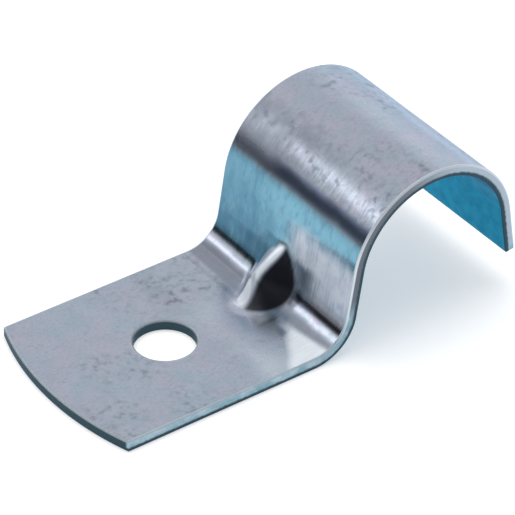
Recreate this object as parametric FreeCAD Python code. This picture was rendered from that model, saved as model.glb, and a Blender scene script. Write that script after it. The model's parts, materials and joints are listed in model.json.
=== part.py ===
"""One-hole conduit strap, pressed from one piece of zinc plated sheet steel.

A flat foot with one screw hole and a curved end turns up into a short leaning wall, which runs over
into the half-round seat that holds the conduit and ends in a short hooked leg. A gusset is pressed into
the bend between the foot and the wall: it stands up on the hollow side and is a pocket underneath.

Millimetres and degrees. The origin is the centre of the screw hole on the underside of the foot, which
is the face that lies against the wall or ceiling. +X runs from the hole towards the seat, +Y along the
conduit, +Z away from the mounting surface.
"""

import FreeCAD
import Part

import math
import os

# Sheet
SHEET = 1.25  # thickness of the plated sheet
WIDTH = 23.0  # width of the strap, along the conduit

# Foot
FOOT_LENGTH = 23.0  # flat length of the foot's long edges, from its end corners to the bend
FOOT_END_RADIUS = 35.0  # radius of the foot's bulging end
HOLE_DIAMETER = 6.6  # clearance hole for a 6 mm or quarter inch screw
HOLE_TO_BEND = 10.7  # hole centre to the start of the bend

# Bend and wall
BEND_RADIUS = 4.0  # on the hollow side, which is the upper face
WALL_ANGLE = 81.0  # how far the wall is folded up from the foot
WALL_LENGTH = 5.4  # flat length of the wall between the bend and the seat

# Seat and leg
CONDUIT_DIAMETER = 17.93  # outside diameter of the conduit
SEAT_CLEARANCE = 0.085  # radial clearance of the seat round the conduit
LEG_ANGLE = 81.0  # how steeply the leg points down
LEG_LENGTH = 5.5  # flat length of the leg

# Gusset, pressed from below by a wheel-shaped punch that stands across the bend
PUNCH_RADIUS = 3.3  # of the wheel in side view
PUNCH_NOSE_RADIUS = 0.45  # rounding of its rim
PUNCH_DRAFT = 35.0  # slope of its flanks
PUNCH_DEPTH = 3.15  # how far it reaches past the underside in the middle of the bend
PUNCH_SHIFT = 0.95  # how far its centre lies from there along the sheet, towards the wall
GUSSET_BLEND = 1.0  # rounding where the gusset runs out into the sheet, on the upper side

# Pressed edges
ROLLED_EDGE = 0.25  # rounding that the cutting leaves on the upper edges, the hole's included
BROKEN_EDGE = 0.12  # rounding of the tumbled lower edges; the hole's lower edge stays sharp

Y_AXIS = FreeCAD.Vector(0, 1, 0)
TOUCHING = 1e-4  # how near a point of an edge lies to a face that it bounds


def point(x, z, y=0.0):
    return FreeCAD.Vector(x, y, z)


def heading(angle):
    """The direction in which the sheet runs when it is turned up by angle."""
    a = math.radians(angle)
    return point(math.cos(a), math.sin(a))


def upward(angle):
    """The direction from the sheet's lower face to its upper face, where the sheet runs at angle."""
    return heading(angle + 90.0)


# The lower face of the strap, station by station from the foot to the leg
SEAT_RADIUS = CONDUIT_DIAMETER / 2 + SEAT_CLEARANCE
BEND_START = point(HOLE_TO_BEND, 0.0)
BEND_CENTRE = BEND_START + upward(0.0) * (SHEET + BEND_RADIUS)
WALL_START = BEND_CENTRE - upward(WALL_ANGLE) * (BEND_RADIUS + SHEET)
WALL_END = WALL_START + heading(WALL_ANGLE) * WALL_LENGTH
SEAT_CENTRE = WALL_END - upward(WALL_ANGLE) * SEAT_RADIUS
LEG_START = SEAT_CENTRE + upward(-LEG_ANGLE) * SEAT_RADIUS
LEG_END = LEG_START + heading(-LEG_ANGLE) * LEG_LENGTH

# The foot's end: its corners, and how far the middle of the end bulges past them
END_CORNER_X = HOLE_TO_BEND - FOOT_LENGTH
END_BULGE = FOOT_END_RADIUS - math.sqrt(FOOT_END_RADIUS**2 - (WIDTH / 2) ** 2)

# The centre of the gusset's punch
UNDER_BEND = BEND_CENTRE - upward(WALL_ANGLE / 2) * (BEND_RADIUS + SHEET)
PUNCH_SINK = PUNCH_RADIUS - PUNCH_DEPTH
PUNCH_CENTRE = UNDER_BEND - upward(WALL_ANGLE / 2) * PUNCH_SINK + heading(WALL_ANGLE / 2) * PUNCH_SHIFT


def side_line(height, foot_end_x):
    """The strap's side view at one height above its lower face, as a list of joined edges."""
    stations = [
        point(foot_end_x, height),
        BEND_START + upward(0.0) * height,
        WALL_START + upward(WALL_ANGLE) * height,
        WALL_END + upward(WALL_ANGLE) * height,
        LEG_START + upward(-LEG_ANGLE) * height,
        LEG_END + upward(-LEG_ANGLE) * height,
    ]
    in_bend = BEND_CENTRE - upward(WALL_ANGLE / 2) * (BEND_RADIUS + SHEET - height)
    middle_of_seat = (WALL_ANGLE - LEG_ANGLE) / 2
    over_seat = SEAT_CENTRE + upward(middle_of_seat) * (SEAT_RADIUS + height)
    return [
        Part.LineSegment(stations[0], stations[1]).toShape(),
        Part.Arc(stations[1], in_bend, stations[2]).toShape(),
        Part.LineSegment(stations[2], stations[3]).toShape(),
        Part.Arc(stations[3], over_seat, stations[4]).toShape(),
        Part.LineSegment(stations[4], stations[5]).toShape(),
    ]


def ends(edges):
    """The first and the last point of a list of joined edges."""
    return edges[0].Vertexes[0].Point, edges[-1].Vertexes[-1].Point


def bent_sheet():
    """The folded strip, as wide as the strap and with a foot that is still square-ended."""
    foot_end_x = END_CORNER_X - END_BULGE
    lower = side_line(0.0, foot_end_x)
    upper = side_line(SHEET, foot_end_x)
    low_foot, low_leg = ends(lower)
    high_foot, high_leg = ends(upper)
    caps = [
        Part.LineSegment(low_leg, high_leg).toShape(),
        Part.LineSegment(high_foot, low_foot).toShape(),
    ]
    section = Part.Face(Part.Wire(Part.__sortEdges__(lower + upper + caps)))
    section.translate(Y_AXIS * (-WIDTH / 2))
    return section.extrude(Y_AXIS * WIDTH)


def outline():
    """The strap's outline in plan with the foot's bulging end, as a block taller than the strap."""
    low, high = -SHEET, SEAT_CENTRE.z + SEAT_RADIUS + 2 * SHEET
    far_x = LEG_END.x + 2 * SHEET
    half = WIDTH / 2
    near_corner, far_corner = point(END_CORNER_X, low, -half), point(END_CORNER_X, low, half)
    near_far, far_far = point(far_x, low, -half), point(far_x, low, half)
    bulge = point(END_CORNER_X - END_BULGE, low)
    edges = [
        Part.Arc(near_corner, bulge, far_corner).toShape(),
        Part.LineSegment(far_corner, far_far).toShape(),
        Part.LineSegment(far_far, near_far).toShape(),
        Part.LineSegment(near_far, near_corner).toShape(),
    ]
    return Part.Face(Part.Wire(edges)).extrude(point(0.0, high - low))


def screw_hole():
    return Part.makeCylinder(HOLE_DIAMETER / 2, 3 * SHEET, point(0.0, -SHEET), point(0.0, 1.0))


def punch(skin):
    """The punch, grown by skin: bare it hollows the pocket, a sheet larger it raises the gusset."""
    nose = PUNCH_NOSE_RADIUS + skin
    nose_centre = PUNCH_RADIUS - PUNCH_NOSE_RADIUS
    draft = math.radians(PUNCH_DRAFT)
    flank_top = nose_centre + nose * math.sin(draft)
    flank_top_y = nose * math.cos(draft)
    hub_y = flank_top_y + flank_top * math.tan(draft)

    def at(radius, y):
        return PUNCH_CENTRE + point(0.0, radius, y)

    left, rim, right = at(flank_top, -flank_top_y), at(nose_centre + nose, 0.0), at(flank_top, flank_top_y)
    edges = [
        Part.LineSegment(at(0.0, -hub_y), left).toShape(),
        Part.Arc(left, rim, right).toShape(),
        Part.LineSegment(right, at(0.0, hub_y)).toShape(),
        Part.LineSegment(at(0.0, hub_y), at(0.0, -hub_y)).toShape(),
    ]
    return Part.Face(Part.Wire(edges)).revolve(PUNCH_CENTRE, Y_AXIS, 360)


def hollow_side():
    """The space over the foot and in front of the wall, down to the middle of the sheet."""
    reach = 3 * PUNCH_RADIUS
    foot, bend, wall = side_line(SHEET / 2, BEND_START.x - reach)[:3]
    start, top = foot.Vertexes[0].Point, wall.Vertexes[-1].Point
    corner = point(start.x, top.z)
    edges = [
        foot,
        bend,
        wall,
        Part.LineSegment(top, corner).toShape(),
        Part.LineSegment(corner, start).toShape(),
    ]
    face = Part.Face(Part.Wire(edges))
    face.translate(Y_AXIS * (-WIDTH / 2))
    return face.extrude(Y_AXIS * WIDTH)


def skin(height):
    """The strap's face at one height above its lower face, with a foot that is still square-ended."""
    face = Part.Wire(side_line(height, END_CORNER_X - END_BULGE))
    face.translate(Y_AXIS * (-WIDTH / 2))
    return face.extrude(Y_AXIS * WIDTH)


def middle(item):
    """A point halfway along an edge, or in the middle of the surface of a face."""
    first, last, *across = item.ParameterRange
    if across:
        return Part.Vertex(item.valueAt((first + last) / 2, sum(across) / 2))
    return Part.Vertex(item.valueAt((first + last) / 2))


def touches(item, shape):
    """True where the middle of an edge or face lies on the surface of a shape."""
    return min(face.distToShape(middle(item))[0] for face in shape.Faces) < TOUCHING


def rim(sheet, height):
    """The edges round the strap's face at one height, and not the seams between its flats and bends."""
    level = skin(height)
    edges = [edge for face in sheet.Faces if touches(face, level) for edge in face.Edges]
    return [edge for edge in edges if sum(edge.isSame(other) for other in edges) == 1]


def press_gusset(sheet):
    """Raises the gusset out of the sheet and hollows its pocket, both blended into the sheet."""
    outer, inner = punch(SHEET), punch(0.0)
    raised = sheet.fuse(outer.common(hollow_side())).removeSplitter()
    root = [edge for edge in raised.Edges if touches(edge, outer) and touches(edge, sheet)]
    raised = raised.makeFillet(GUSSET_BLEND, root)
    pressed = raised.cut(inner)
    mouth = [edge for edge in pressed.Edges if touches(edge, inner) and touches(edge, sheet)]
    return pressed.makeFillet(GUSSET_BLEND + SHEET, mouth)


def strap():
    sheet = bent_sheet().common(outline())
    sheet = sheet.makeFillet(BROKEN_EDGE, rim(sheet, 0.0))
    sheet = sheet.cut(screw_hole())
    sheet = sheet.makeFillet(ROLLED_EDGE, rim(sheet, SHEET))
    return press_gusset(sheet)


def main():
    os.makedirs("parts", exist_ok=True)
    shape = strap()
    print(shape.ShapeType, shape.isValid(), len(shape.Solids), round(shape.Volume, 2), shape.BoundBox)
    shape.Solids[0].exportStep("parts/strap_body.step")


main()
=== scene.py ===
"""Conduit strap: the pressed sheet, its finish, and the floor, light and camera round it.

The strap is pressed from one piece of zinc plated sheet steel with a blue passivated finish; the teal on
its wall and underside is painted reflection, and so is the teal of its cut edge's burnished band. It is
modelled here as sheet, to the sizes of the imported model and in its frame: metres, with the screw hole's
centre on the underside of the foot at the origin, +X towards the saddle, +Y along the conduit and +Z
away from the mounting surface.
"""

import json
import math

import bmesh
import bpy
from mathutils import Matrix, Vector


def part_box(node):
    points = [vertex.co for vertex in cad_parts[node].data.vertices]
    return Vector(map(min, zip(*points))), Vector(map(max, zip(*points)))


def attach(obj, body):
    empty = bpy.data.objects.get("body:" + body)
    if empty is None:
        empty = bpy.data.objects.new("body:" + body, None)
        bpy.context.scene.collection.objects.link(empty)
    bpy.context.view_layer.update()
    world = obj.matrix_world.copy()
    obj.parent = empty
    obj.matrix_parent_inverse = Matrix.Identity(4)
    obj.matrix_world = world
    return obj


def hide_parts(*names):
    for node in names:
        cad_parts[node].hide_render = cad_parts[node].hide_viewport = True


bl_info = {
    "name": "Conduit Strap",
    "version": (1, 0, 0),
    "blender": (4, 5, 0),
    "location": "View3D > Sidebar > Strap",
    "description": "Models a pressed sheet steel conduit strap and sets its stage",
    "category": "Object",
}

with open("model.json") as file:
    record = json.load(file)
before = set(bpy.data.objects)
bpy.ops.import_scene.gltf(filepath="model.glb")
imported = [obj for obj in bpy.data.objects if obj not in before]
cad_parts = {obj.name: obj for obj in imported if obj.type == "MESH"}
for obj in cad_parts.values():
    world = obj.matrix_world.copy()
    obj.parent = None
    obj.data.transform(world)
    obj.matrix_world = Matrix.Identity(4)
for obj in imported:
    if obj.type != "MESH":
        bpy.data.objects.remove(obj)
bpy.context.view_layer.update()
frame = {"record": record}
MM = 0.001
SAME_PLACE = 1e-6  # places nearer to each other than this are one place

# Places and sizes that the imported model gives
MOUNTS = {mount["name"]: mount for mount in frame["record"]["mounts"]}
SEAT_CENTRE = Vector(MOUNTS["conduit_seat"]["pos_m"])
SEAT_RADIUS = MOUNTS["conduit_seat"]["dims"]["r_mm"] * MM
HOLE_RADIUS = MOUNTS["screw_hole"]["dims"]["r_mm"] * MM
LOWEST, HIGHEST = (Vector(corner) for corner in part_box("strap_body"))
WIDTH = HIGHEST.y - LOWEST.y

# Material slots of the pressed sheet
UPPER_FACE, CUT_EDGE, LOWER_FACE = range(3)

# Faces of the sheet: columns across the strap, and rows along it from the foot's end to the leg
COLUMNS = 76
END_CUTS = 14  # rows between the foot's round end and the square of rows round the hole
HOLE_ROWS, FOOT_ROWS, BEND_ROWS, WALL_ROWS, SEAT_ROWS, LEG_ROWS = 40, 16, 28, 18, 81, 14
FINE_HALF = 4.6 * MM  # columns nearer to the middle than this are halved, for the hole and the gusset

# How the sheet is eased where it runs out of the gusset
EASE_REACH = 2.4 * MM  # how far past the punch the easing goes
EASE_STEPS = 8  # steps in which it fades out
EASE_ROUNDS = 50

# The point attribute that holds each point's place in the unrolled sheet
SHEET_PLACE = "place_in_sheet"

# Where the gusset's ridge runs out on the foot, as seen from above
GUSSET_TOE = Vector((10.25, 0.4, 0.0)) * MM

# The camera's place and axes, and what the lamps are aimed at
CAMERA_PLACE = Vector((-0.15646, -0.22977, 0.21694))
CAMERA_RIGHT = Vector((0.81097, -0.58502, 0.00911))
CAMERA_UP = Vector((0.34146, 0.48586, 0.80458))
CAMERA_AHEAD = Vector((0.47512, 0.64938, -0.59378))
LIT_MIDDLE = Vector((0.012, 0.0, 0.008))


def heading(angle):
    """The direction in which the sheet runs when it is turned up by angle, in radians."""
    return Vector((math.cos(angle), 0.0, math.sin(angle)))


def upward(angle):
    """The direction from the sheet's lower face to its upper face, where the sheet runs at angle."""
    return heading(angle + math.pi / 2)


def select(kind, test):
    """Selects the vertices, edges or faces whose middle passes the test, and nothing else."""
    bpy.ops.mesh.select_mode(type=kind)
    bpy.ops.mesh.select_all(action="DESELECT")
    shape = bmesh.from_edit_mesh(bpy.context.object.data)
    for item in {"VERT": shape.verts, "EDGE": shape.edges, "FACE": shape.faces}[kind]:
        corners = [item.co] if kind == "VERT" else [corner.co for corner in item.verts]
        if test(item, sum(corners, Vector()) / len(corners)):
            item.select_set(True)
    shape.select_flush_mode()
    bmesh.update_edit_mesh(bpy.context.object.data)


def lone_vertex(name, place):
    """A new object at the origin whose mesh is one selected vertex, left in edit mode."""
    bpy.ops.object.select_all(action="DESELECT")
    bpy.ops.mesh.primitive_plane_add(size=MM, location=place)
    piece = bpy.context.object
    piece.name = piece.data.name = name
    bpy.ops.object.transform_apply(location=True, rotation=True, scale=True)
    bpy.ops.object.mode_set(mode="EDIT")
    bpy.ops.mesh.select_all(action="SELECT")
    bpy.ops.mesh.merge(type="CENTER")
    bpy.ops.mesh.select_all(action="SELECT")
    return piece


def run_on(way, rows):
    """Extrudes the selected row of edges along way, in rows of equal steps."""
    for _ in range(rows):
        bpy.ops.mesh.extrude_edges_move(TRANSFORM_OT_translate={"value": way / rows})


def apply_modifier(piece, kind, **settings):
    """Adds a modifier to the piece with its settings and applies it."""
    bpy.ops.object.mode_set(mode="OBJECT")
    modifier = piece.modifiers.new(kind.lower(), kind)
    for key, value in settings.items():
        setattr(modifier, key, value)
    bpy.context.view_layer.objects.active = piece
    bpy.ops.object.modifier_apply(modifier=modifier.name)


def bend_centre(sizes):
    """The centre of the bend between the foot and the wall."""
    return Vector((sizes.hole_to_bend, 0.0, sizes.sheet + sizes.bend_radius))


def bent_skin(sizes):
    """The strap's upper face as one surface: the foot from its round end, bend, wall, seat and leg."""
    half = WIDTH / 2
    swing = math.asin(half / sizes.end_radius)
    end_centre = Vector((LOWEST.x + sizes.end_radius, 0.0, sizes.sheet))
    corner = end_centre + Vector((-sizes.end_radius * math.cos(swing), -half, 0.0))
    skin = lone_vertex("strap", corner)
    bpy.ops.mesh.spin(steps=COLUMNS, angle=2 * swing, center=end_centre, axis=(0.0, 0.0, 1.0))
    bpy.ops.mesh.select_all(action="SELECT")
    bpy.ops.mesh.extrude_edges_move(TRANSFORM_OT_translate={"value": (half, 0.0, 0.0)})
    square = Vector((-2 * HOLE_RADIUS, 0.0, sizes.sheet))
    bpy.ops.transform.resize(value=(0.0, 1.0, 1.0), center_override=square, orient_type="GLOBAL")
    select("EDGE", lambda edge, middle: abs(edge.verts[0].co.x - edge.verts[1].co.x) > MM)
    bpy.ops.mesh.subdivide(number_cuts=END_CUTS)

    select("EDGE", lambda edge, middle: all(abs(v.co.x - square.x) < SAME_PLACE for v in edge.verts))
    run_on(Vector((-2 * square.x, 0.0, 0.0)), HOLE_ROWS)
    run_on(Vector((sizes.hole_to_bend + square.x, 0.0, 0.0)), FOOT_ROWS)

    fold, droop = sizes.wall_angle, sizes.leg_angle
    bpy.ops.mesh.spin(steps=BEND_ROWS, angle=fold, center=bend_centre(sizes), axis=(0.0, 1.0, 0.0))
    run_on(heading(fold) * sizes.wall_length, WALL_ROWS)
    bpy.ops.mesh.spin(steps=SEAT_ROWS, angle=fold + droop, center=SEAT_CENTRE, axis=(0.0, -1.0, 0.0))
    run_on(heading(-droop) * sizes.leg_length, LEG_ROWS)
    return skin


def near_axes(place, reach):
    """True where a place is within reach of the hole's axis both ways."""
    return max(abs(place.x), abs(place.y)) < reach


def runs_across(edge):
    """True for an edge of the skin that runs across the strap."""
    way = edge.verts[1].co - edge.verts[0].co
    return abs(way.y) > 0.9 * way.length


def open_hole(sizes):
    """Cuts the screw hole in the skin, with a ring of faces between it and the rows round it."""
    centre = Vector((0.0, 0.0, sizes.sheet))

    def in_block(face, middle):
        return (middle - centre).length < 2 * FINE_HALF and near_axes(middle, FINE_HALF)

    def on_block_rim(edge, middle):
        return edge.is_boundary and near_axes(middle, FINE_HALF + MM) and middle.z < 2 * MM

    select("FACE", in_block)
    bpy.ops.mesh.delete(type="FACE")
    select("EDGE", on_block_rim)
    for radius in (HOLE_RADIUS + 2 * sizes.rolled_edge, HOLE_RADIUS):
        bpy.ops.mesh.extrude_edges_move()
        bpy.ops.transform.tosphere(value=1.0, center_override=centre)
        shape = bmesh.from_edit_mesh(bpy.context.object.data)
        reached = next((vert.co - centre).length for vert in shape.verts if vert.select)
        bpy.ops.transform.resize(value=(radius / reached,) * 3, center_override=centre)


def punch_centre(sizes):
    """The centre of the gusset's punch, under the middle of the bend."""
    middle = sizes.wall_angle / 2
    under_bend = bend_centre(sizes) - upward(middle) * (sizes.bend_radius + sizes.sheet)
    sink = sizes.punch_radius - sizes.punch_depth
    return under_bend - upward(middle) * sink + heading(middle) * sizes.punch_shift


def punch_wheel(sizes):
    """The wheel that presses the gusset, a sheet larger all round: two cones with a rounded rim."""
    centre = punch_centre(sizes)
    nose = sizes.punch_nose + sizes.sheet
    draft = sizes.punch_draft
    tangent = nose / math.tan(draft)
    rim_radius = sizes.punch_radius + sizes.sheet - nose + nose / math.sin(draft)
    hub = Vector((0.0, rim_radius * math.tan(draft), 0.0))
    wheel = lone_vertex("punch_wheel", centre - hub)
    rim = Vector((-rim_radius, 0.0, 0.0))
    bpy.ops.mesh.extrude_vertices_move(TRANSFORM_OT_translate={"value": rim + hub})
    bpy.ops.mesh.extrude_vertices_move(TRANSFORM_OT_translate={"value": hub - rim})
    bpy.ops.mesh.select_all(action="SELECT")
    bpy.ops.mesh.spin(steps=240, angle=math.tau, center=centre, axis=(0.0, 1.0, 0.0))
    bpy.ops.mesh.select_all(action="SELECT")
    bpy.ops.mesh.remove_doubles(threshold=SAME_PLACE)
    select("EDGE", lambda edge, middle: all(abs(v.co.y) < SAME_PLACE for v in edge.verts))
    bpy.ops.mesh.bevel(offset_type="OFFSET", offset=tangent, segments=16, profile=0.5)
    bpy.ops.object.mode_set(mode="OBJECT")
    return wheel


def press_gusset(skin, sizes):
    """Presses the wheel's shape into the bend and eases the sheet round it."""
    bpy.ops.object.mode_set(mode="OBJECT")
    centre = punch_centre(sizes)
    wheel = punch_wheel(sizes)
    bpy.ops.object.select_all(action="DESELECT")
    skin.select_set(True)
    bpy.context.view_layer.objects.active = skin
    pressed = "pressed"
    skin.vertex_groups.new(name=pressed)
    bpy.ops.object.mode_set(mode="EDIT")
    reach = sizes.punch_radius + sizes.sheet
    for step in range(EASE_STEPS):
        near = reach + EASE_REACH * (1 - step / EASE_STEPS)
        select("VERT", lambda vert, middle: (middle - centre).length < near)
        bpy.context.scene.tool_settings.vertex_group_weight = (step + 1) / EASE_STEPS
        bpy.ops.object.vertex_group_assign()
    apply_modifier(
        skin,
        "SHRINKWRAP",
        target=wheel,
        wrap_method="PROJECT",
        use_positive_direction=True,
        use_negative_direction=False,
    )
    apply_modifier(skin, "SMOOTH", factor=0.5, iterations=EASE_ROUNDS, vertex_group=pressed)
    apply_modifier(skin, "SHRINKWRAP", target=wheel, wrap_mode="OUTSIDE", vertex_group=pressed)
    apply_modifier(skin, "SMOOTH", factor=0.5, iterations=EASE_ROUNDS, vertex_group=pressed)
    bpy.data.objects.remove(wheel)
    skin.vertex_groups.clear()


def place_in_sheet(sizes, place):
    """How far a place lies along the unrolled strap from the hole, across it, and below its upper face."""
    fold, droop = sizes.wall_angle, sizes.leg_angle
    flat = Vector((place.x, 0.0, place.z))
    bend, seat = flat - bend_centre(sizes), flat - SEAT_CENTRE
    crown = SEAT_RADIUS + sizes.sheet
    wall_start = sizes.hole_to_bend + fold * sizes.bend_radius
    seat_start = wall_start + sizes.wall_length
    leg_start = seat_start + (fold + droop) * crown
    if bend.x < 0.0:
        run, depth = flat.x, sizes.sheet - flat.z
    elif bend.dot(heading(fold)) < 0.0:
        run = sizes.hole_to_bend + math.atan2(bend.x, -bend.z) * sizes.bend_radius
        depth = bend.length - sizes.bend_radius
    elif seat.x < 0.0 and seat.dot(heading(fold)) < 0.0:
        run, depth = wall_start + bend.dot(heading(fold)), crown - seat.dot(upward(fold))
    elif seat.dot(heading(-droop)) < 0.0:
        run, depth = seat_start + (fold + math.atan2(seat.x, seat.z)) * crown, crown - seat.length
    else:
        run, depth = leg_start + seat.dot(heading(-droop)), crown - seat.dot(upward(-droop))
    return Vector((run, place.y, depth))


def round_edges(faces, amount):
    """Rounds the edges between the cut edge of the sheet and the given face of it."""
    pair = {CUT_EDGE, faces}
    select("EDGE", lambda edge, middle: {face.material_index for face in edge.link_faces} == pair)
    bpy.ops.mesh.bevel(offset_type="OFFSET", offset=amount, segments=4, profile=0.5, material=CUT_EDGE)


def tree_of(block):
    """An emptied node tree on a material or world."""
    block.use_nodes = True
    block.node_tree.nodes.clear()
    return block.node_tree


def put(socket, value):
    """Links a field to a socket, or sets the socket's own value."""
    if isinstance(value, Field):
        value.tree.links.new(value.output, socket)
    else:
        socket.default_value = value


def node(tree, kind, settings=None, **inputs):
    """A node with its settings and inputs; an input is named by its label, with _ for a space."""
    made = tree.nodes.new(kind)
    for key, value in (settings or {}).items():
        setattr(made, key, value)
    for key, value in inputs.items():
        put(made.inputs[key.replace("_", " ")], value)
    return made


def first_output(made):
    """The first output of a node, as a field."""
    return Field(made.outputs[0])


class Field:
    """A value that varies over a surface: the output of a node. Its arithmetic adds Math nodes."""

    def __init__(self, output):
        self.output = output
        self.tree = output.id_data

    def __add__(self, other):
        return worked_out("ADD", self, other)

    def __sub__(self, other):
        return worked_out("SUBTRACT", self, other)

    def __rsub__(self, other):
        return worked_out("SUBTRACT", other, self)

    def __mul__(self, other):
        return worked_out("MULTIPLY", self, other)

    def step(self, low, high, start=0.0, end=1.0):
        """A smooth step that goes from start to end while the field goes from low to high."""
        made = node(self.tree, "ShaderNodeMapRange", {"interpolation_type": "SMOOTHSTEP"})
        for socket, value in zip(made.inputs, (self, low, high, start, end)):
            put(socket, value)
        return Field(made.outputs["Result"])

    def window(self, low, high, soft):
        """1 where the field lies between low and high, fading out over soft on both sides."""
        return self.step(low - soft, low + soft) * self.step(high - soft, high + soft, 1.0, 0.0)

    def axes(self):
        """The three parts of a vector."""
        parts = node(self.tree, "ShaderNodeSeparateXYZ", Vector=self)
        return [Field(output) for output in parts.outputs]

    def clouds(self, size, detail=3.0, roughness=0.5, stretch=(1.0, 1.0, 1.0), shift=0.0):
        """Noise over a place, with blots of about the given size; stretch lengthens them along an axis."""
        mapping = node(
            self.tree,
            "ShaderNodeMapping",
            Vector=self,
            Location=(shift, shift, shift),
            Scale=tuple(1.0 / (size * s) for s in stretch),
        )
        return first_output(
            node(
                self.tree,
                "ShaderNodeTexNoise",
                Vector=first_output(mapping),
                Scale=1.0,
                Detail=detail,
                Roughness=roughness,
            )
        )

    def along(self, direction):
        """How far a direction goes along another one: 1 if they are the same, 0 if they are square."""
        made = node(self.tree, "ShaderNodeVectorMath", {"operation": "DOT_PRODUCT"})
        put(made.inputs[0], self)
        put(made.inputs[1], direction)
        return Field(made.outputs["Value"])


def worked_out(operation, *values):
    """The outcome of a Math node on fields and numbers."""
    tree = next(value.tree for value in values if isinstance(value, Field))
    made = node(tree, "ShaderNodeMath", {"operation": operation})
    for socket, value in zip(made.inputs, values):
        put(socket, value)
    return first_output(made)


def largest(first, *others):
    """The largest of several fields at each point."""
    for other in others:
        first = worked_out("MAXIMUM", first, other)
    return first


def mixed(mask, under, over):
    """A colour laid over another one as far as the mask goes."""
    made = node(mask.tree, "ShaderNodeMix", {"data_type": "RGBA"})
    for name, value in (("Factor", mask), ("A", under), ("B", over)):
        put(made.inputs[name], value)
    return Field(made.outputs["Result"])


def away_from(point, **parts):
    """How far a place lies from a point; the place is given by its X, Y or Z, and 0 for the rest."""
    tree = next(iter(parts.values())).tree
    made = node(tree, "ShaderNodeVectorMath", {"operation": "DISTANCE"})
    put(made.inputs[0], first_output(node(tree, "ShaderNodeCombineXYZ", **parts)))
    put(made.inputs[1], point)
    return Field(made.outputs["Value"])


class Coat:
    """The material of one kind of face of the sheet, laid on in layers of colour."""

    def __init__(self, name, looks):
        self.looks = looks
        self.material = bpy.data.materials.new(name)
        self.tree = tree_of(self.material)
        attribute = node(self.tree, "ShaderNodeAttribute", {"attribute_name": SHEET_PLACE})
        self.place = Field(attribute.outputs["Vector"])
        self.run, self.across, self.depth = self.place.axes()
        spot = Field(node(self.tree, "ShaderNodeTexCoord").outputs["Object"])
        self.x, _, self.z = spot.axes()

    def paint(self, mask, colour):
        """Lays a colour over what is there as far as the mask goes."""
        self.colour = mixed(mask, self.colour, colour)

    def rolled_relief(self):
        """Height of the rolled sheet's grain, its drawn streaks and its slow waves."""
        grain = self.place.clouds(0.3 * MM, 2.0) * (0.0018 * MM)
        streaks = self.place.clouds(0.16 * MM, 2.0, stretch=(6.0, 1.0, 1.0)) * (0.0022 * MM)
        waves = self.place.clouds(4.0 * MM, 1.0, shift=1.3) * (0.055 * MM)
        return grain + streaks + waves

    def finish(self, roughness, relief, metallic=1.0):
        """Plated metal in the colour so far, with a fine surface relief given in metres."""
        bump = node(self.tree, "ShaderNodeBump", Strength=1.0, Distance=1.0, Height=relief)
        shader = node(
            self.tree,
            "ShaderNodeBsdfPrincipled",
            Base_Color=self.colour,
            Metallic=metallic,
            Roughness=roughness,
            Specular_Tint=(0.55, 0.65, 0.75, 1.0),
            Normal=first_output(bump),
        )
        node(self.tree, "ShaderNodeOutputMaterial", Surface=first_output(shader))
        return self.material


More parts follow.
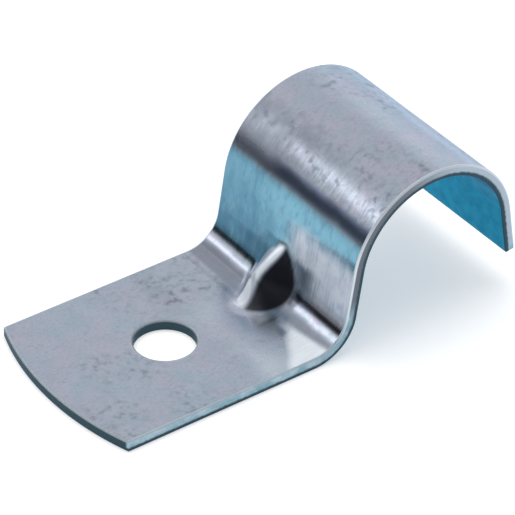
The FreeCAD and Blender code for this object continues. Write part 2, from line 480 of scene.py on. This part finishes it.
class UpperFace(Coat):
    """Blue passivated zinc on the side that the tools touched: grey, with teal painted reflection on the
    wall.
    """

    def __init__(self, looks, sizes):
        super().__init__("zinc_upper_face", looks)
        self.sizes = sizes
        # How far the sheet has run past the start of the bend, of the wall and of the seat
        self.bend_length = sizes.wall_angle * sizes.bend_radius
        self.past_fold = self.run - sizes.hole_to_bend
        self.past_bend = self.past_fold - self.bend_length
        self.past_wall = self.past_bend - sizes.wall_length
        # Patterns that several layers share
        self.cool = self.place.clouds(2.2 * MM, 4.0, shift=5.1)
        self.scratches = self.place.clouds(0.3 * MM, 3.0, 0.6, (9.0, 1.0, 1.0), 3.1)
        self.ragged = self.place.clouds(0.5 * MM, 3.0, stretch=(7.0, 1.0, 1.0), shift=2.2) * (3.0 * MM)
        self.find_gusset()

    def find_gusset(self):
        """Where the sheet is pressed up, and in it the ridge, its toe on the foot and the flank painted dark.
        """
        reach = self.sizes.punch_radius + self.sizes.sheet
        near = away_from(punch_centre(self.sizes), X=self.x, Z=self.z)
        near = near.step(reach + 0.5 * MM, reach + 1.3 * MM, 1.0, 0.0)
        self.pressed = near * self.across.window(-3.2 * MM, 3.0 * MM, 0.5 * MM)
        self.raised = self.depth.step(-0.06 * MM, -0.35 * MM)

        # The flank is painted dark reflection, and a smear beside it is darkened with it.
        self.smear_y = self.across + self.place.clouds(0.5 * MM, 2.0, shift=7.7) * (1.0 * MM)
        smear = self.past_fold.window(2.6 * MM, 4.6 * MM, 0.5 * MM)
        smear = smear * self.smear_y.window(-3.9 * MM, -2.4 * MM, 0.4 * MM) * 0.7
        flank = self.raised * self.across.step(-0.35 * MM, -0.95 * MM)
        self.dark_flank = largest(flank, smear)

        # The ridge and the toe get a painted highlight.
        ridge = self.raised * self.across.window(-0.6 * MM, 0.4 * MM, 0.35 * MM)
        self.ridge = ridge * self.z.step(3.7 * MM, 5.0 * MM, 0.3, 1.0)
        toe = away_from(GUSSET_TOE, X=self.x, Y=self.across).step(0.6 * MM, 1.1 * MM, 1.0, 0.0)
        self.toe = toe * self.z.step(1.35 * MM, 1.7 * MM) * (1.0 - self.dark_flank)

    def plate(self):
        """Grey zinc with a lilac cast, cooler clouds and a fine grain."""
        cast = self.place.clouds(6 * MM, 3.0)
        self.colour = mixed(cast.step(0.38, 0.62), self.looks.grey, self.looks.lilac)
        self.paint(self.cool.step(0.35, 0.7, 0.0, 0.35), self.looks.pale_teal)
        grain = self.place.clouds(0.28 * MM, 2.0, 0.6, shift=1.7)
        self.paint(grain.step(0.35, 0.65, 0.0, 0.13), self.looks.stain)

    def colour_wall(self):
        """Teal painted reflection on the wall, darker towards its foot and far end, with a painted highlight
        on the near half.
        """
        looks, across, ragged = self.looks, self.across, self.ragged
        foot = self.past_bend + ragged * 0.3 + across.step(0.5 * MM, 3.5 * MM, 0.0, 0.9 * MM)
        wall = foot.step(-0.9 * MM, -0.1 * MM)
        wall = wall * (self.past_wall + ragged * 0.3).step(2.9 * MM, 4.4 * MM, 1.0, 0.0)
        self.wall = wall * (1.0 - self.depth.step(-0.3 * MM, -0.8 * MM))

        low = (self.past_wall + ragged).step(1.0 * MM - self.sizes.wall_length, 4.0 * MM, 0.8, 0.25)
        far = across.step(-1.0 * MM, 6.0 * MM, 0.3, 1.0)
        shade = self.place.clouds(1.6 * MM, 4.0, 0.6, (2.5, 1.0, 1.0), 8.8)
        patchy = self.place.clouds(0.7 * MM, 3.0, 0.6, (1.8, 1.0, 1.0), 2.9)
        # The wall's teal is painted reflection, darker in mottles and towards the wall's foot and far end.
        teal = looks.teal
        for mask in (
            low * far * shade.step(0.2, 0.55),
            shade.step(0.5, 0.75, 0.0, 0.4),
            patchy.step(0.48, 0.68, 0.0, 0.3),
            across.step(1.5 * MM, 8.0 * MM, 0.0, 0.22),
        ):
            teal = mixed(mask, teal, looks.dark_teal)

        # A painted highlight on the near half of the wall, matt and pale, with grey streaks in it.
        patch = (across + ragged * 0.7).step(-1.8 * MM, 1.4 * MM, 1.0, 0.0)
        patch = patch * (self.past_wall + ragged * 0.5).step(-0.4 * MM, 2.0 * MM, 1.0, 0.0)
        drift = self.cool.step(0.35, 0.65) * self.scratches.step(0.35, 0.65, 0.3, 1.0)
        lit = mixed(drift * 0.62, looks.wall_lilac, looks.wall_grey)
        self.paint(self.wall, mixed(patch, teal, lit))
        self.wall_highlight = self.wall * patch * self.past_bend.step(-0.5 * MM, 0.3 * MM)

    def colour_band(self):
        """The navy band of painted dark reflection where the wall runs over into the seat, and the streaked
        one above it.
        """
        edge = self.past_wall + self.ragged * 0.25
        navy = edge.step(3.5 * MM, 4.2 * MM) * edge.step(4.9 * MM, 5.8 * MM, 1.0, 0.0)
        self.paint(navy * self.across.step(2.0 * MM, 7.0 * MM, 0.9, 0.25), self.looks.navy)
        streaks = self.past_wall.window(5.3 * MM, 7.6 * MM, 0.8 * MM) * self.scratches.step(0.42, 0.66)
        self.paint(streaks * 0.4, self.looks.stain)

    def darken(self):
        """Painted shade above the bands, in the far half of the bend and on the seat's shoulder, and a darker
        far side of the foot.
        """
        across = self.across
        above_band = self.past_wall.window(5.0 * MM, 9.5 * MM, 1.5 * MM)
        above_band = above_band * across.step(-8.0 * MM, 6.0 * MM, 0.25, 1.0)
        above_band = above_band * self.cool.step(0.3, 0.6, 0.5, 0.8)
        far_bend = largest(
            self.past_fold.window(0.1 * MM, 1.5 * MM, 0.35 * MM) * 0.6,
            self.past_fold.window(1.7 * MM, 2.6 * MM, 0.2 * MM) * 0.8,
        )
        far_bend = far_bend * across.step(0.5 * MM, 4.0 * MM)
        shoulder = self.past_wall.window(20.6 * MM, 24.5 * MM, 1.0 * MM)
        shoulder = shoulder * across.step(5.0 * MM, 0.0, 0.2, 0.65)
        self.far_foot = self.run.window(3.0 * MM, self.sizes.hole_to_bend, 1.5 * MM)
        self.far_foot = self.far_foot * across.step(1.5 * MM, 5.0 * MM)
        self.paint(largest(above_band, far_bend, self.far_foot * 0.22, shoulder), self.looks.stain)

    def stain(self):
        """Fields of soft blots on the flats and a stained strip of the seat, and specks all over."""
        rub = self.x.window(17.8 * MM, 21.5 * MM, 1.2 * MM)
        fields = self.place.clouds(7 * MM, 1.0, shift=3.7).step(0.45, 0.6) * 0.7
        blots = self.place.clouds(0.9 * MM, 1.0).step(0.42, 0.78)
        smears = self.place.clouds(2.6 * MM, 1.0, shift=9.4).step(0.42, 0.62)
        specks = self.place.clouds(0.5 * MM, 0.5, shift=6.4).step(0.55, 0.85)
        stains = largest(fields, rub, self.far_foot) * blots * (smears * 0.6 + 0.4)
        in_bend = self.past_fold.window(0.6 * MM, self.bend_length, 0.4 * MM)
        kept_clear = (1.0 - self.wall * 0.6) * (1.0 - in_bend * 0.7)
        self.stained = largest(stains, specks * 0.2) * kept_clear
        self.paint(self.stained, self.looks.stain)

    def crease(self):
        """Painted dark reflection in the crease where the bend meets the wall, and darker lines across the
        bend and where it leaves the foot.
        """
        sharp = self.past_fold.window(3.5 * MM, 4.15 * MM, 0.22 * MM) * 0.8
        fading = self.past_fold.step(4.1 * MM, self.bend_length - 0.2 * MM, 0.5, 0.0)
        fading = fading * self.past_fold.step(3.7 * MM, 4.1 * MM)
        crease = largest(sharp, fading) * (1.0 - self.raised)
        self.paint(crease * self.across.step(0.5 * MM, 4.0 * MM, 1.0, 0.28), self.looks.dark_reflection)
        wide_line = self.past_fold.window(1.3 * MM, 2.45 * MM, 0.35 * MM)
        fine_line = self.past_fold.window(-0.8 * MM, -0.4 * MM, 0.2 * MM)
        fine_line = fine_line * self.across.step(-2.0 * MM, 1.0 * MM)
        self.paint(largest(wide_line * 0.55, fine_line * 0.3), self.looks.stain)

    def shade_gusset_side(self):
        """Streaky painted shade on the wall and on the foot, both on the near side of the gusset."""
        soft_run = self.past_fold + (self.ragged - 1.5 * MM) * 0.5
        streak_y = self.across + (self.scratches - 0.5) * (4.0 * MM)
        on_wall = soft_run.window(3.6 * MM, self.bend_length + 1.9 * MM, 0.6 * MM)
        on_wall = on_wall * streak_y.window(-5.6 * MM, -0.8 * MM, 1.6 * MM)
        on_foot = self.past_fold.window(0.2 * MM, 1.9 * MM, 0.5 * MM)
        on_foot = on_foot * self.smear_y.window(-4.4 * MM, -1.2 * MM, 0.9 * MM)
        self.side_shaded = largest(on_wall, on_foot) * self.scratches.step(0.3, 0.65, 0.95, 0.7)
        self.paint(self.side_shaded, self.looks.side_shade)

    def colour_gusset(self):
        """Painted highlights on the ridge and the toe, and painted dark reflection on the flank."""
        self.paint(largest(self.ridge, self.toe) * 0.95, self.looks.shine)
        self.paint(self.dark_flank * 0.985, self.looks.dark_reflection)

    def foot_highlight(self):
        """A matt painted highlight at the foot's bent near corner, and a faint one along the near edge."""
        drifting = self.place.clouds(1.6 * MM, 1.5, shift=4.4) - 0.5
        corner_y = self.across + drifting * (3.0 * MM)
        corner_run = self.past_fold + drifting * (1.6 * MM)
        slanted = corner_run - (corner_y + 8 * MM) * 0.7
        bright = slanted.step(-2.4 * MM, 0.1 * MM)
        bright = bright * (self.past_fold + self.across * 0.12).step(-0.1 * MM, 0.8 * MM, 1.0, 0.0)
        bright = bright * corner_y.step(-4.6 * MM, -7.2 * MM)
        faint = corner_run.window(5.0 * MM - self.sizes.hole_to_bend, -0.2 * MM, 1.5 * MM)
        faint = faint * self.across.step(-1.0 * MM, -10.5 * MM, 0.12, 0.45)
        self.foot_highlights = largest(bright, faint) * self.scratches.step(0.3, 0.6, 1.0, 0.85)
        self.paint(self.foot_highlights, self.looks.foot_highlight)

    def metallic(self):
        """Bare metal all over but under the painted highlights on the wall, on the foot and on the gusset's
        toe.
        """
        return 1.0 - largest(self.wall_highlight * 0.6, self.foot_highlights, self.toe * 0.8) * (1.0 - self.side_shaded)

    def roughness(self):
        """The plating's own roughness, and more of it where the sheet is stained or pressed and under the
        painted highlights on the wall and the foot.
        """
        flank = self.pressed * (1.0 - self.ridge * 0.55)
        in_crease = self.past_fold.window(4.3 * MM, self.bend_length + 1.0 * MM, 0.4 * MM)
        far_band = self.across.step(2.5 * MM, 6.0 * MM) * self.past_wall.step(3.0 * MM, 5.0 * MM)
        roughness = self.stained * 0.12 + self.looks.roughness
        roughness = roughness + largest(flank * 0.3, self.toe * 0.2)
        roughness = roughness + largest(in_crease * 0.2, self.wall_highlight * 0.2, self.foot_highlights * 0.2)
        return roughness + far_band * 0.08


def upper_finish(looks, sizes):
    """The finish of the upper face, layer by layer."""
    face = UpperFace(looks, sizes)
    face.plate()
    face.colour_wall()
    face.colour_band()
    face.darken()
    face.stain()
    face.crease()
    face.shade_gusset_side()
    face.colour_gusset()
    face.foot_highlight()
    return face.finish(face.roughness(), face.rolled_relief(), face.metallic())


def cut_finish(looks):
    """The sheared edge: a burnished band under the upper face, in teal that is painted reflection, and a dark
    broken one below it, with painted dark reflection on the foot's end and in the hole and a painted
    highlight along the upper arris.
    """
    edge = Coat("zinc_cut_edge", looks)
    # The burnished band's teal is painted reflection.
    shade = edge.place.clouds(1.2 * MM, 3.0, shift=9.0)
    edge.colour = mixed(shade.step(0.3, 0.7), looks.pale_teal, looks.cut_teal)
    far_half = edge.x.step(20.0 * MM, 30.0 * MM)
    edge.paint(edge.z.step(4.0 * MM, 7.0 * MM), mixed(far_half, looks.cut_grey, looks.cut_light))

    # The broken band below is the edge's own dark; the same dark on the foot's end and in the hole is painted
    # dark reflection.
    ragged = edge.place.clouds(0.4 * MM, 3.0, shift=4.0) * (0.25 * MM)
    broken = (edge.depth + ragged).step(0.8 * MM, 1.05 * MM)
    hole = away_from(Vector(), X=edge.x, Y=edge.across)
    hole = hole.step(HOLE_RADIUS + 0.6 * MM, HOLE_RADIUS + 0.3 * MM)
    side = worked_out("ABSOLUTE", edge.across).step(WIDTH / 2 - 0.4 * MM, WIDTH / 2 - 0.1 * MM)
    foot_end = edge.run.step(-10.5 * MM, -11.5 * MM) * (1.0 - side)
    edge.paint(largest(foot_end, hole, broken), looks.cut_dark)

    # A painted highlight along the upper arris.
    arris = edge.depth.step(0.10 * MM, 0.26 * MM, 1.0, 0.0)
    edge.paint(arris * edge.z.step(2.0 * MM, 7.0 * MM, 0.6, 1.0), looks.arris)
    tears = edge.place.clouds(0.12 * MM, 2.0, stretch=(1.0, 1.0, 8.0), shift=1.0)
    return edge.finish(0.42, tears * (0.006 * MM), 0.75)


def lower_finish(looks):
    """Deep teal painted reflection on the side that no tool touched: the underside and inside the seat."""
    face = Coat("zinc_lower_face", looks)
    # Both teals and the darker mottles on this side are painted reflection.
    drift = face.place.clouds(1.4 * MM, 4.0, 0.6, shift=2.0)
    fine = face.place.clouds(0.5 * MM, 3.0, 0.6, shift=7.0)
    face.colour = mixed(drift.step(0.3, 0.7), looks.deep_teal, looks.bright_teal)
    face.paint(fine.step(0.5, 0.75, 0.0, 0.5), looks.dark_teal)
    return face.finish(0.3, face.rolled_relief())


def pale_floor(colour, glow):
    """A matt floor that reads as near white in the view and in the metal, and keeps its shadow."""
    material = bpy.data.materials.new("pale_floor")
    tree = tree_of(material)
    place = Field(node(tree, "ShaderNodeTexCoord").outputs["Object"])
    mottle = place.clouds(0.03, 3.0).step(0.3, 0.7, 0.0, 0.03)
    matt = node(tree, "ShaderNodeBsdfDiffuse", Color=mixed(mottle, colour, (0.5, 0.5, 0.5, 1.0)))
    path = node(tree, "ShaderNodeLightPath").outputs
    seen = largest(*(Field(path[ray]) for ray in ("Is Camera Ray", "Is Glossy Ray", "Is Transmission Ray")))
    shine = node(tree, "ShaderNodeEmission", Color=colour, Strength=seen * glow)
    both = node(tree, "ShaderNodeAddShader")
    for socket, shader in zip(both.inputs, (matt, shine)):
        put(socket, first_output(shader))
    node(tree, "ShaderNodeOutputMaterial", Surface=first_output(both))
    return material


def black_card(name, centre, size, facing):
    """A matt black card that keeps light off the metal, out of the camera's sight."""
    bpy.ops.object.select_all(action="DESELECT")
    bpy.ops.mesh.primitive_plane_add(size=1.0, location=centre)
    card = bpy.context.object
    card.name = name
    card.scale = (*size, 1.0)
    card.rotation_mode = "QUATERNION"
    card.rotation_quaternion = Vector(facing).to_track_quat("Z", "Y")
    card.visible_camera = False
    material = bpy.data.materials.new(name)
    tree = tree_of(material)
    matt = node(tree, "ShaderNodeBsdfDiffuse", Color=(0.01, 0.01, 0.012, 1.0))
    node(tree, "ShaderNodeOutputMaterial", Surface=first_output(matt))
    card.data.materials.append(material)


def toward(turn, rise):
    """The direction that is turned from +X towards +Y and raised, in degrees."""
    a, e = math.radians(turn), math.radians(rise)
    return Vector((math.cos(a) * math.cos(e), math.sin(a) * math.cos(e), math.sin(e)))


def soft_box(name, turn, rise, distance, width, height, brightness):
    """A rectangular soft box that faces the strap; brightness is its own radiance."""
    lamp = bpy.data.lights.new(name, "AREA")
    lamp.shape = "RECTANGLE"
    lamp.size, lamp.size_y = width, height
    lamp.energy = brightness * math.pi * width * height
    box = bpy.data.objects.new(name, lamp)
    bpy.context.scene.collection.objects.link(box)
    aim = toward(turn, rise)
    box.location = LIT_MIDDLE + aim * distance
    box.rotation_mode = "QUATERNION"
    box.rotation_quaternion = aim.to_track_quat("Z", "Y")
    box.visible_camera = False
    return box


def studio_air(stage):
    """The room round the strap: pale near the floor, dimmer above and behind, brightest ahead."""
    world = bpy.data.worlds.new("studio_air")
    bpy.context.scene.world = world
    tree = tree_of(world)
    way = Field(node(tree, "ShaderNodeTexCoord").outputs["Generated"])
    rise = way.axes()[2]
    tone = mixed(rise.step(0.15, 0.65), stage.air_low, stage.air_high)
    behind = way.along(toward(stage.behind_turn, 5.0))
    tone = mixed(behind.step(0.12, 0.45), tone, stage.air_behind)
    ahead = way.along(toward(stage.ahead_turn, 5.0))
    tone = mixed(ahead.step(0.80, 0.98), tone, stage.air_ahead)
    light = node(tree, "ShaderNodeBackground", Color=tone, Strength=1.0)
    node(tree, "ShaderNodeOutputWorld", Surface=first_output(light))


def set_camera(lens):
    """The camera, which looks down on the strap from its foot's near side."""
    camera = bpy.data.cameras.new("camera")
    camera.lens = lens
    camera.sensor_width = 36.0
    camera.clip_start = 0.01
    body = bpy.data.objects.new("camera", camera)
    bpy.context.scene.collection.objects.link(body)
    turn = Matrix((CAMERA_RIGHT, CAMERA_UP, -CAMERA_AHEAD)).transposed().to_4x4()
    body.matrix_world = Matrix.Translation(CAMERA_PLACE) @ turn
    return body


def angle_setting(name, what, value):
    """An angle that a user can change, given in degrees."""
    return bpy.props.FloatProperty(
        name=name, description=what, default=math.radians(value), unit="ROTATION", subtype="ANGLE"
    )


def colour_setting(name, what, value):
    """A colour that a user can change."""
    return bpy.props.FloatVectorProperty(
        name=name, description=what, subtype="COLOR", size=4, min=0.0, max=1.0, default=(*value, 1.0)
    )


def turn_setting(name, what, value):
    """A level direction that a user can change, in degrees from +X towards +Y."""
    return bpy.props.FloatProperty(name=name, description=what, default=value)


def length_setting(name, what, value):
    """A length that a user can change, in metres."""
    return bpy.props.FloatProperty(
        name=name, description=what, default=value, min=0.0, unit="LENGTH", subtype="DISTANCE"
    )


class StrapSizes(bpy.types.PropertyGroup):
    """Sizes of the pressed sheet."""

    sheet: length_setting("Sheet", "Thickness of the sheet", 1.25 * MM)
    end_radius: length_setting("End Radius", "Radius of the foot's bulging end", 35.0 * MM)
    hole_to_bend: length_setting("Hole to Bend", "From the hole's centre to the bend", 10.7 * MM)
    bend_radius: length_setting("Bend Radius", "Radius on the bend's hollow side", 4.0 * MM)
    wall_angle: angle_setting("Wall Angle", "How far the wall is folded up", 81.0)
    wall_length: length_setting("Wall Length", "Flat of the wall", 5.4 * MM)
    leg_angle: angle_setting("Leg Angle", "How steeply the leg points down", 81.0)
    leg_length: length_setting("Leg Length", "Flat of the leg", 5.5 * MM)
    punch_radius: length_setting("Punch Radius", "Radius of the gusset's punch in side view", 3.3 * MM)
    punch_nose: length_setting("Punch Nose", "Rounding of the punch's rim", 0.45 * MM)
    punch_draft: angle_setting("Punch Draft", "Slope of the punch's flanks", 35.0)
    punch_depth: length_setting("Punch Depth", "Reach of the punch past the lower face", 3.15 * MM)
    punch_shift: length_setting("Punch Shift", "Offset of the punch towards the wall", 0.95 * MM)
    rolled_edge: length_setting("Rolled Edge", "Rounding of the upper edges", 0.25 * MM)
    broken_edge: length_setting("Broken Edge", "Rounding of the lower edges", 0.12 * MM)


class StrapLooks(bpy.types.PropertyGroup):
    """Colours and gloss of the plating, and the reflections, highlights and shade painted into it."""

    grey: colour_setting("Grey", "Plating on the flats", (0.56, 0.625, 0.72))
    lilac: colour_setting("Lilac", "Cast that drifts over the flats", (0.61, 0.61, 0.72))
    # Pale teal: drifting tone on the flats, and part of the painted reflection on the cut edge.
    pale_teal: colour_setting("Pale Teal", "Thin passivation on flats and edges", (0.42, 0.56, 0.64))
    # Teal: painted reflection on the wall.
    teal: colour_setting("Teal", "Passivation on the wall", (0.20, 0.42, 0.53))
    # Dark teal: darker mottles in the painted reflection on the wall and on the hidden side.
    dark_teal: colour_setting("Dark Teal", "Thick passivation", (0.07, 0.17, 0.26))
    # Wall lilac and wall grey: the painted highlight on the wall's near half, and the streaks in it.
    wall_lilac: colour_setting("Wall Lilac", "Bare part of the worn patch on the wall", (0.87, 0.93, 1.0))
    wall_grey: colour_setting("Wall Grey", "Streaks in the worn patch on the wall", (0.42, 0.52, 0.66))
    # Deep teal and bright teal: painted reflection on the hidden side.
    deep_teal: colour_setting("Deep Teal", "Passivation on the hidden side", (0.022, 0.27, 0.44))
    bright_teal: colour_setting("Bright Teal", "Thin passivation on the hidden side", (0.035, 0.36, 0.54))
    # Cut teal: the burnished band of the cut edge, its teal painted reflection.
    cut_teal: colour_setting("Cut Teal", "Burnished band of the cut edge", (0.22, 0.38, 0.46))
    cut_grey: colour_setting("Cut Grey", "Cut edge on the seat's near half", (0.15, 0.17, 0.20))
    cut_light: colour_setting("Cut Light", "Cut edge on the seat's far half", (0.42, 0.50, 0.58))
    # Cut dark: the broken band's own colour, and painted dark reflection on the foot's end and in the hole.
    cut_dark: colour_setting("Cut Dark", "Broken band of the cut edge", (0.035, 0.07, 0.09))
    # Arris: painted highlight along the upper arris of the cut edge.
    arris: colour_setting("Arris", "Rubbed upper corner of the cut edge", (0.74, 0.80, 0.85))
    # Stain: the plating's dull blots, also laid on as painted shade over the bands, the bend and the
    # shoulder.
    stain: colour_setting("Stain", "Dull blots in the plating", (0.25, 0.27, 0.32))
    # Bloom: painted highlight on the foot's bent corner and near edge.
    foot_highlight: colour_setting("Bloom", "Matt bloom at the foot's bent corner", (0.93, 0.97, 1.0))
    # Shine: painted highlight on the gusset's ridge and toe.
    shine: colour_setting("Shine", "Bare ridge and toe of the gusset", (0.90, 0.95, 1.0))
    # Gloom: painted shade beside the gusset.
    side_shade: colour_setting("Gloom", "Dull sheet beside the gusset", (0.17, 0.23, 0.31))
    # Navy: painted dark reflection in the band over the wall.
    navy: colour_setting("Navy", "Dark band over the wall", (0.33, 0.42, 0.65))
    # Soot: painted dark reflection on the gusset's flank and in the crease.
    dark_reflection: colour_setting("Soot", "Tool grime beside the gusset", (0.02, 0.021, 0.026))
    roughness: bpy.props.FloatProperty(
        name="Roughness", description="How soft reflections in the plating are", default=0.2, min=0.0, max=1.0
    )


class StrapStage(bpy.types.PropertyGroup):
    """Floor, light and room."""

    floor_size: length_setting("Floor", "Length of the floor's sides", 4.0)
    floor: colour_setting("Floor Colour", "The pale matt floor", (0.86, 0.86, 0.86))
    glow: bpy.props.FloatProperty(
        name="Glow", description="Light the floor adds where it is seen", default=0.48, min=0.0
    )
    air_low: colour_setting("Low Air", "Light of the room near the floor", (0.80, 0.81, 0.82))
    air_high: colour_setting("High Air", "Light of the room halfway up", (0.64, 0.65, 0.67))
    air_ahead: colour_setting("Air Ahead", "Light of the room beyond the strap", (0.92, 0.93, 0.94))
    air_behind: colour_setting("Air Behind", "Light of the room on the camera's side", (0.42, 0.44, 0.47))
    ahead_turn: turn_setting("Turn Ahead", "Middle of the bright side", 44.0)
    behind_turn: turn_setting("Turn Behind", "Middle of the dim side", 252.0)
    lens: bpy.props.FloatProperty(
        name="Lens", description="Focal length in millimetres", default=239.4, min=1.0
    )


class STRAP_OT_press(bpy.types.Operator):
    """Models the strap as one pressed sheet"""

    bl_idname = "strap.press"
    bl_label = "Press the Strap"

    def execute(self, context):
        sizes = context.scene.strap_sizes
        looks = context.scene.strap_looks
        strap = bent_skin(sizes)
        select("EDGE", lambda edge, middle: runs_across(edge) and abs(middle.y) < FINE_HALF)
        bpy.ops.mesh.subdivide(number_cuts=1)
        open_hole(sizes)
        bpy.ops.mesh.select_all(action="SELECT")
        bpy.ops.mesh.normals_make_consistent(inside=False)
        shape = bmesh.from_edit_mesh(strap.data)
        if sum(face.normal.z for face in shape.faces if face.calc_center_median().x < 0.0) < 0.0:
            bpy.ops.mesh.flip_normals()
        press_gusset(strap, sizes)
        for material in (upper_finish(looks, sizes), cut_finish(looks), lower_finish(looks)):
            strap.data.materials.append(material)
        apply_modifier(
            strap,
            "SOLIDIFY",
            thickness=sizes.sheet,
            offset=-1.0,
            use_even_offset=True,
            use_quality_normals=True,
            material_offset=LOWER_FACE,
            material_offset_rim=CUT_EDGE,
        )
        bpy.ops.object.mode_set(mode="EDIT")
        round_edges(UPPER_FACE, sizes.rolled_edge)
        round_edges(LOWER_FACE, sizes.broken_edge)
        bpy.ops.object.mode_set(mode="OBJECT")
        bpy.ops.object.shade_smooth_by_angle(angle=math.radians(35.0))
        apply_modifier(strap, "WEIGHTED_NORMAL", mode="FACE_AREA", weight=100, keep_sharp=True)
        places = strap.data.attributes.new(SHEET_PLACE, "FLOAT_VECTOR", "POINT")
        for corner, place in zip(strap.data.vertices, places.data):
            place.vector = place_in_sheet(sizes, corner.co)
        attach(strap, "root")
        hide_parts("strap_body")
        return {"FINISHED"}


class STRAP_OT_stage(bpy.types.Operator):
    """Lays the floor and sets the lights, the room and the camera"""

    bl_idname = "strap.stage"
    bl_label = "Set the Stage"

    def execute(self, context):
        stage = context.scene.strap_stage
        bpy.ops.object.select_all(action="DESELECT")
        bpy.ops.mesh.primitive_plane_add(size=stage.floor_size, location=(0.0, 0.0, 0.0))
        floor = context.object
        floor.name = "floor"
        floor.data.materials.append(pale_floor(stage.floor, stage.glow))
        soft_box(
            "side_soft_box", turn=115.0, rise=34.0, distance=0.6, width=0.66, height=0.09, brightness=1.25
        )
        top = soft_box(
            "top_soft_box", turn=60.0, rise=80.0, distance=0.8, width=0.6, height=0.6, brightness=2.3
        )
        top.visible_glossy = False
        black_card("low_black_card", (-0.318, 0.318, 0.092), (0.46, 0.135), facing=(0.7, -0.7, 0.0))
        studio_air(stage)
        context.scene.camera = set_camera(stage.lens)
        context.scene.view_settings.view_transform = "Standard"
        return {"FINISHED"}


class STRAP_PT_panel(bpy.types.Panel):
    """The strap's steps"""

    bl_idname = "STRAP_PT_panel"
    bl_label = "Conduit Strap"
    bl_space_type = "VIEW_3D"
    bl_region_type = "UI"
    bl_category = "Strap"

    def draw(self, context):
        for group in (context.scene.strap_sizes, context.scene.strap_looks, context.scene.strap_stage):
            for name in group.bl_rna.properties.keys():
                if name not in ("rna_type", "name"):
                    self.layout.prop(group, name)
        self.layout.operator("strap.press")
        self.layout.operator("strap.stage")


CLASSES = (StrapSizes, StrapLooks, StrapStage, STRAP_OT_press, STRAP_OT_stage, STRAP_PT_panel)


def register():
    for item in CLASSES:
        bpy.utils.register_class(item)
    bpy.types.Scene.strap_sizes = bpy.props.PointerProperty(type=StrapSizes)
    bpy.types.Scene.strap_looks = bpy.props.PointerProperty(type=StrapLooks)
    bpy.types.Scene.strap_stage = bpy.props.PointerProperty(type=StrapStage)


def unregister():
    del bpy.types.Scene.strap_stage
    del bpy.types.Scene.strap_looks
    del bpy.types.Scene.strap_sizes
    for item in reversed(CLASSES):
        bpy.utils.unregister_class(item)


def main():
    register()
    bpy.ops.strap.press()
    bpy.ops.strap.stage()


if __name__ == "__main__":
    main()
